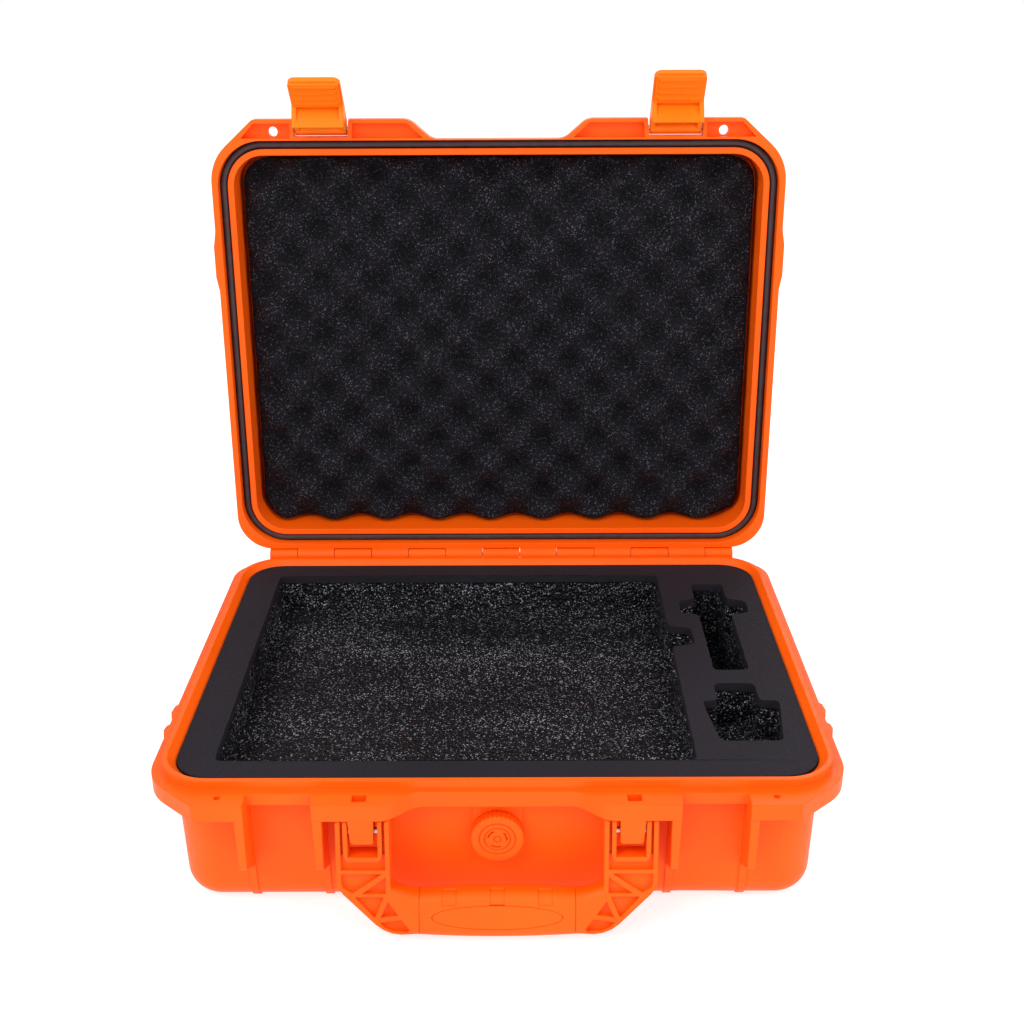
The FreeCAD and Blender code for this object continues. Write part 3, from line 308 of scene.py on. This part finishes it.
# the foams and the lid's gasket are left out: other pieces stand in for them
CAD_FINISH = {
    "base_shell": ORANGE, "lid_shell": ORANGE,
    "handle_frame": HANDLE_ORANGE, "handle_grip_cover": HANDLE_ORANGE,
    "handle_badge": HANDLE_ORANGE, "valve_knob": HANDLE_ORANGE, "valve_stem": HANDLE_ORANGE,
    "latch_lever_left": LATCH_ORANGE_PAINTED_LIT, "latch_lever_right": LATCH_ORANGE_PAINTED_LIT,
    "valve_seal": RUBBER, "valve_nut": NYLON,
    "hinge_pin": STEEL, "handle_pin_left": STEEL, "handle_pin_right": STEEL,
    "latch_pin_left": STEEL, "latch_pin_right": STEEL,
}
for node_name, finish in CAD_FINISH.items():
    plain = NODES[node_name]
    plain.data.materials.clear()
    plain.data.materials.append(finish)


# ---------------------------------------------------------------- mesh helpers
def new_piece(name, vertices, faces, finish, smooth=True):
    """A closed mesh object from points and faces, facing outwards."""
    mesh = bpy.data.meshes.new(name)
    mesh.from_pydata([tuple(point) for point in vertices], [], faces)
    shape = bmesh.new()
    shape.from_mesh(mesh)
    bmesh.ops.recalc_face_normals(shape, faces=shape.faces)
    shape.to_mesh(mesh)
    shape.free()
    mesh.update()
    mesh.materials.append(finish)
    for face in mesh.polygons:
        face.use_smooth = smooth
    made = bpy.data.objects.new(name, mesh)
    SCENE.collection.objects.link(made)
    return made


def rounded_rectangle(low, high, radius, steps=10):
    """Points round a rectangle with round corners, anticlockwise from the front right."""
    points = []
    corners = [(high[0] - radius, low[1] + radius), (high[0] - radius, high[1] - radius),
               (low[0] + radius, high[1] - radius), (low[0] + radius, low[1] + radius)]
    for turn, (across, along) in enumerate(corners):
        for step in range(steps + 1):
            angle = math.radians(90 * turn - 90 + 90 * step / steps)
            points.append((across + radius * math.cos(angle), along + radius * math.sin(angle)))
    return points


def grid_faces(across, along):
    """Quads of a grid whose points run along x first, row by row."""
    wide = across + 1
    return [(start, start + wide, start + wide + 1, start + 1)
            for start in (row * wide + column for row in range(along) for column in range(across))]


def grid_rim(across, along):
    """Indices round such a grid, in order, starting at its first point."""
    wide = across + 1
    return (list(range(across)) + [row * wide + across for row in range(along)]
            + [along * wide + column for column in range(across, 0, -1)]
            + [row * wide for row in range(along, 0, -1)])


def shut_box(name):
    """Lowest and highest corner of a lid node, as it lies when the lid is shut."""
    shut = LID_OPEN.inverted()
    points = [shut @ vertex.co for vertex in NODES[name].data.vertices]
    return [Vector([pick(point[axis] for point in points) for axis in range(3)])
            for pick in (min, max)]


# ---------------------------------------------------------------- lid foam
CRATE_PITCH = 33.5 * MM          # from one crest to the next along x or y
CRATE_SWELL = 5.2 * MM           # crest above the mean face, and valley below it
CRATE_CORNER = 15.3 * MM         # radius of the block's four corners
CREST_X = 9.6 * MM               # a crest right of the middle
CREST_BEFORE_HINGE = 2.7 * MM    # a crest in front of the hinge axis
CRATE_RIPPLE = 0.5 * MM
CRATE_DROOP = 1.2 * MM           # how far the cut edge falls away
DROOP_POINTS = 2.5               # grid points over which it does
CRATE_ACROSS, CRATE_ALONG = 190, 150
SKIRT = ((0.35, 0.995), (0.7, 0.995), (1.0, 0.95))    # share of the depth, share of the width


def crate_wave(x, y, half_width):
    """Height of the egg-crate pattern above its mean, calmer towards the sides."""
    turn_x = 2 * math.pi * (x - CREST_X) / CRATE_PITCH
    turn_y = 2 * math.pi * (HINGE_POINT.y - CREST_BEFORE_HINGE - y) / CRATE_PITCH
    calm = min(1.0, 0.4 + (half_width - abs(x)) / (30 * MM))
    return CRATE_SWELL * calm * math.cos(turn_x) * math.cos(turn_y)


def into_corner(x, y, low, high):
    """Pull a point of the square grid inside the block's round corners."""
    limit_x, limit_y = high.x - CRATE_CORNER, high.y - CRATE_CORNER
    centre_y = (low.y + high.y) / 2
    corner_x, corner_y = abs(x) - limit_x, abs(y - centre_y) - (limit_y - centre_y)
    if corner_x > 0 and corner_y > 0:
        scale = max(corner_x, corner_y) / math.hypot(corner_x, corner_y)
        x = math.copysign(limit_x + corner_x * scale, x)
        y = centre_y + math.copysign(limit_y - centre_y + corner_y * scale, y - centre_y)
    return x, y


def make_lid_foam():
    """Egg-crate foam: staggered bumps over a closed slab, drawn in the shut lid."""
    low, high = shut_box("lid_foam")
    mean = low.z + CRATE_SWELL + 0.3 * MM
    vertices = []
    for row in range(CRATE_ALONG + 1):
        for column in range(CRATE_ACROSS + 1):
            x, y = into_corner(low.x + (high.x - low.x) * column / CRATE_ACROSS,
                               low.y + (high.y - low.y) * row / CRATE_ALONG, low, high)
            ripple = noise.noise(Vector((x, y, 0.0)) * 90.0) * CRATE_RIPPLE
            edge = min(column, CRATE_ACROSS - column, row, CRATE_ALONG - row)
            droop = CRATE_DROOP * max(0.0, 1.0 - edge / DROOP_POINTS) ** 2
            vertices.append(Vector((x, y, mean - crate_wave(x, y, high.x) + ripple + droop)))
    faces = grid_faces(CRATE_ACROSS, CRATE_ALONG)
    rim = grid_rim(CRATE_ACROSS, CRATE_ALONG)
    last = rim
    for depth, width in SKIRT:
        ring = list(range(len(vertices), len(vertices) + len(rim)))
        for index in rim:
            point = vertices[index]
            height = point.z + (high.z - 0.2 * MM - point.z) * depth
            vertices.append(Vector((point.x * width, point.y * width, height)))
        for step in range(len(rim)):
            after = (step + 1) % len(rim)
            faces.append((last[step], last[after], ring[after], ring[step]))
        last = ring
    faces.append(tuple(reversed(last)))
    piece = new_piece("lid_crate_foam", [LID_OPEN @ point for point in vertices], faces, CRATE_FOAM)
    # rise runs from valley to crest and sets the painted valley shade of the egg-crate foam
    rise = piece.data.attributes.new("rise", "FLOAT", "POINT")
    for index, point in enumerate(vertices):
        lift = (mean + CRATE_SWELL - point.z) / (2 * CRATE_SWELL)
        rise.data[index].value = min(1.0, max(0.0, lift))
    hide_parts("lid_foam")
    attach(piece, "lid")


make_lid_foam()


# ---------------------------------------------------------------- seal
SEAL_HALF = 1.7 * MM      # half the width of the gasket in the CAD
SEAL_CORNER = 24 * MM     # corner radius of its centre line


def make_seal():
    """Rubber ring in the lid's groove: a flat foot with a rounded crest."""
    low, high = shut_box("lid_gasket")
    crest, root = low.z, high.z
    profile = [(-2.4 * MM, root), (-2.4 * MM, root - 0.9 * MM), (-1.75 * MM, root - 1.15 * MM),
               (-1.65 * MM, crest + 0.8 * MM), (-1.25 * MM, crest + 0.3 * MM),
               (-0.6 * MM, crest + 0.04 * MM)]
    profile += [(-offset, height) for offset, height in reversed(profile)]
    vertices, faces = [], []
    for offset, height in profile:
        grow = offset - SEAL_HALF
        ring = rounded_rectangle((low.x - grow, low.y - grow), (high.x + grow, high.y + grow),
                                 SEAL_CORNER + offset, steps=24)
        vertices += [LID_OPEN @ Vector((x, y, height)) for x, y in ring]
    count = len(vertices) // len(profile)
    for level in range(len(profile)):
        above = (level + 1) % len(profile)
        for step in range(count):
            after = (step + 1) % count
            faces.append((level * count + step, above * count + step, above * count + after,
                          level * count + after))
    piece = new_piece("seal_ring", vertices, faces, RUBBER)
    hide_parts("lid_gasket")
    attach(piece, "lid")


make_seal()


# ---------------------------------------------------------------- foam in the base
def outlines(name, top=True):
    """The outlines of a CAD foam's flat top or bottom, the outer one first."""
    mesh = bmesh.new()
    mesh.from_mesh(NODES[name].data)
    bmesh.ops.remove_doubles(mesh, verts=mesh.verts, dist=0.01 * MM)
    heights = [vertex.co.z for vertex in mesh.verts]
    level = max(heights) if top else min(heights)
    follow = {}
    for edge in mesh.edges:
        if all(abs(vertex.co.z - level) < 0.02 * MM for vertex in edge.verts):
            flat = sum(abs(face.normal.z) > 0.9 for face in edge.link_faces)
            if flat == 1:
                start, end = edge.verts
                follow.setdefault(start.index, []).append(end.index)
                follow.setdefault(end.index, []).append(start.index)
    mesh.verts.ensure_lookup_table()
    loops, seen = [], set()
    for start in follow:
        if start in seen:
            continue
        loop, here = [], start
        while here is not None:
            seen.add(here)
            loop.append(mesh.verts[here].co.xy.copy())
            here = next((item for item in follow[here] if item not in seen), None)
        loops.append(loop)
    mesh.free()
    return sorted(loops, key=lambda loop: -max(point.x for point in loop)
                  + min(point.x for point in loop))


def relaxed(loop, spacing, rounds):
    """The loop in even steps, with its corners rounded by averaging."""
    count = len(loop)
    sides = [(loop[(step + 1) % count] - loop[step]).length for step in range(count)]
    total = sum(sides)
    wanted = max(12, round(total / spacing))
    points, side, start = [], 0, 0.0
    for step in range(wanted):
        place = total * step / wanted
        while place > start + sides[side]:
            start += sides[side]
            side += 1
        share = (place - start) / sides[side]
        points.append(loop[side].lerp(loop[(side + 1) % count], share))
    for _ in range(rounds):
        points = [(points[step - 1] + 2 * points[step] + points[(step + 1) % wanted]) / 4
                  for step in range(wanted)]
    return points


def foam_block(loops, low, high, levels, rough):
    """Vertices and faces of a block with holes; the holes' walls are uneven by rough."""
    vertices, faces = [], []
    rings = []
    for number, loop in enumerate(loops):
        count = len(loop)
        ring = []
        for level in range(levels + 1):
            height = low + (high - low) * level / levels
            row = []
            for step, point in enumerate(loop):
                along = loop[(step + 1) % count] - loop[step - 1]
                out = Vector((along.y, -along.x)).normalized()
                spot = Vector((point.x, point.y, height))
                push = 0.0
                if number:
                    push = rough * (noise.noise(spot * 130.0) + 0.7 * noise.noise(spot * 420.0))
                row.append(len(vertices))
                vertices.append(Vector((point.x + out.x * push, point.y + out.y * push, height)))
            ring.append(row)
        rings.append(ring)
        for level in range(levels):
            for step in range(count):
                after = (step + 1) % count
                faces.append((ring[level][step], ring[level][after], ring[level + 1][after],
                              ring[level + 1][step]))
    flat = [[Vector((point.x, point.y, 0.0)) for point in loop] for loop in loops]
    triangles = geometry.tessellate_polygon(flat)
    for level in (0, levels):
        order = [index for ring in rings for index in ring[level]]
        faces += [tuple(order[corner] for corner in triangle) for triangle in triangles]
    return vertices, faces


def rough_slab(low, high, level, thick):
    """A closed slab whose top is torn in long bands; low and high are its xy corners."""
    across, along = 150, 130
    vertices = []
    for row in range(along + 1):
        for column in range(across + 1):
            x = low.x + (high.x - low.x) * column / across
            y = low.y + (high.y - low.y) * row / along
            bands = noise.noise(Vector((x * 9.0, y * 62.0, 1.7)))
            torn = noise.noise(Vector((x, y, 5.2)) * 240.0)
            vertices.append(Vector((x, y, level + (0.5 + 0.25 * bands + 0.4 * torn) * MM)))
    under = len(vertices)
    vertices += [Vector((point.x, point.y, level - thick)) for point in vertices[:under]]
    top = grid_faces(across, along)
    faces = top + [tuple(under + index for index in reversed(face)) for face in top]
    rim = grid_rim(across, along)
    for step, here in enumerate(rim):
        after = rim[(step + 1) % len(rim)]
        faces.append((here, under + here, under + after, after))
    return vertices, faces


def finish_foam(name, node, parts, finish):
    """Join the parts into one piece that stands in for a CAD foam."""
    vertices, faces = [], []
    for points, sides in parts:
        base = len(vertices)
        vertices += points
        faces += [tuple(base + index for index in side) for side in sides]
    piece = new_piece(name, vertices, faces, finish, smooth=False)
    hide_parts(node)
    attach(piece, "base")


FOAM_STEP = 1.6 * MM         # spacing of the points round a hollow
SHEET_UNEVEN = 0.25 * MM     # how far the sheet's cut edges wander
CUT_UNEVEN = 0.9 * MM        # how far the torn walls of the hollows wander
FLOOR_REACH = 2.0 * MM       # how far the torn floor goes in under the hollow's walls
FLOOR_THICK = 1.0 * MM
STEP_SHARE = 0.52            # height of the step in the floor foam, as a share of the foam


def foam_outlines(name, rounds):
    """A CAD foam's outline and its hollows, whose corners are rounded more."""
    outer, *hollows = outlines(name)
    return [relaxed(outer, FOAM_STEP * 2, 1)] + [relaxed(loop, FOAM_STEP, rounds) for loop in hollows]


def make_base_foams():
    low, high = node_box("base_foam_face")
    finish_foam("smooth_sheet", "base_foam_face",
                [foam_block(foam_outlines("base_foam_face", 4), low.z, high.z, 3, SHEET_UNEVEN)],
                SHEET_FOAM)
    low, high = node_box("base_foam_upper")
    finish_foam("cut_foam_upper", "base_foam_upper",
                [foam_block(foam_outlines("base_foam_upper", 3), low.z, high.z, 11, CUT_UNEVEN)],
                CUT_FOAM)
    # the main hollow's floor is the lower block's torn top
    main = max(outlines("base_foam_upper")[1:],
               key=lambda loop: max(p.x for p in loop) - min(p.x for p in loop))
    corner_low, corner_high = [
        Vector((pick(p.x for p in main) + reach, pick(p.y for p in main) + reach))
        for pick, reach in ((min, -FLOOR_REACH), (max, FLOOR_REACH))]
    low, high = node_box("base_foam_lower")
    finish_foam("cut_foam_lower", "base_foam_lower",
                [foam_block(foam_outlines("base_foam_lower", 3), low.z, high.z, 12, CUT_UNEVEN),
                 rough_slab(corner_low, corner_high, high.z, FLOOR_THICK)], CUT_FOAM)
    low, high = node_box("base_foam_floor")
    step_height = low.z + (high.z - low.z) * STEP_SHARE
    wide, narrow = [[relaxed(outlines("base_foam_floor", top)[0], FOAM_STEP * 2, 1)]
                    for top in (True, False)]
    finish_foam("cut_foam_floor", "base_foam_floor",
                [foam_block(wide, step_height, high.z, 4, 0.0),
                 foam_block(narrow, low.z, step_height, 4, 0.0)], CUT_FOAM)


make_base_foams()


# ---------------------------------------------------------------- floor, light and camera
FLOOR_HALF = 6.0     # metres


def make_floor():
    """A wide pale floor that glows enough to melt into the white background."""
    half = FLOOR_HALF
    mesh = bpy.data.meshes.new("floor")
    mesh.from_pydata([(-half, -half, 0), (half, -half, 0), (half, half, 0), (-half, half, 0)],
                     [], [(0, 1, 2, 3)])
    shade = Shade("pale_floor")
    patch = shade.noise(3.0)
    shade.set(Base_Color=shade.ramp(patch, [(0.3, (0.40, 0.40, 0.40)), (0.7, (0.43, 0.43, 0.43))]),
              Roughness=0.8, Specular_IOR_Level=0.1,
              Emission_Color=(1.0, 1.0, 1.0, 1.0), Emission_Strength=0.72)
    mesh.materials.append(shade.material)
    floor = bpy.data.objects.new("floor", mesh)
    SCENE.collection.objects.link(floor)


def make_light(name, place, target, size, power):
    """A square lamp that faces its target; lengths in metres, power in watts."""
    light = bpy.data.lights.new(name, "AREA")
    light.shape = "SQUARE"
    light.size = size
    light.energy = power
    made = bpy.data.objects.new(name, light)
    made.location = place
    made.rotation_euler = (Vector(target) - Vector(place)).to_track_quat("-Z", "Y").to_euler()
    SCENE.collection.objects.link(made)


def make_studio():
    """White surroundings with three soft lamps."""
    world = bpy.data.worlds.new("studio")
    world.use_nodes = True
    world.node_tree.nodes["Background"].inputs["Color"].default_value = (1.0, 1.0, 1.0, 1.0)
    world.node_tree.nodes["Background"].inputs["Strength"].default_value = 1.0
    SCENE.world = world
    middle = (0.0, 0.0, 0.12)
    make_light("key", (-0.9, -1.1, 1.5), middle, 0.9, 14.0)
    make_light("fill", (1.2, -0.9, 1.0), middle, 1.0, 7.0)
    make_light("back", (0.3, 1.3, 1.2), middle, 1.0, 8.0)


def make_camera():
    """The photograph's viewpoint, from above and in front of the handle."""
    camera = bpy.data.cameras.new("camera")
    camera.sensor_width = 36.0
    camera.lens = 47.57
    made = bpy.data.objects.new("camera", camera)
    made.location = Vector((8.9, -650.5, 438.1)) * MM
    pitch, yaw, roll = math.radians(23.11), math.radians(0.14), math.radians(-0.25)
    made.rotation_mode = "XYZ"
    turn = (Matrix.Rotation(yaw, 4, "Z") @ Matrix.Rotation(math.pi / 2 - pitch, 4, "X")
            @ Matrix.Rotation(roll, 4, "Z"))
    made.rotation_euler = turn.to_euler()
    SCENE.collection.objects.link(made)
    SCENE.camera = made


make_floor()
make_studio()
make_camera()
SCENE.view_settings.view_transform = "Standard"
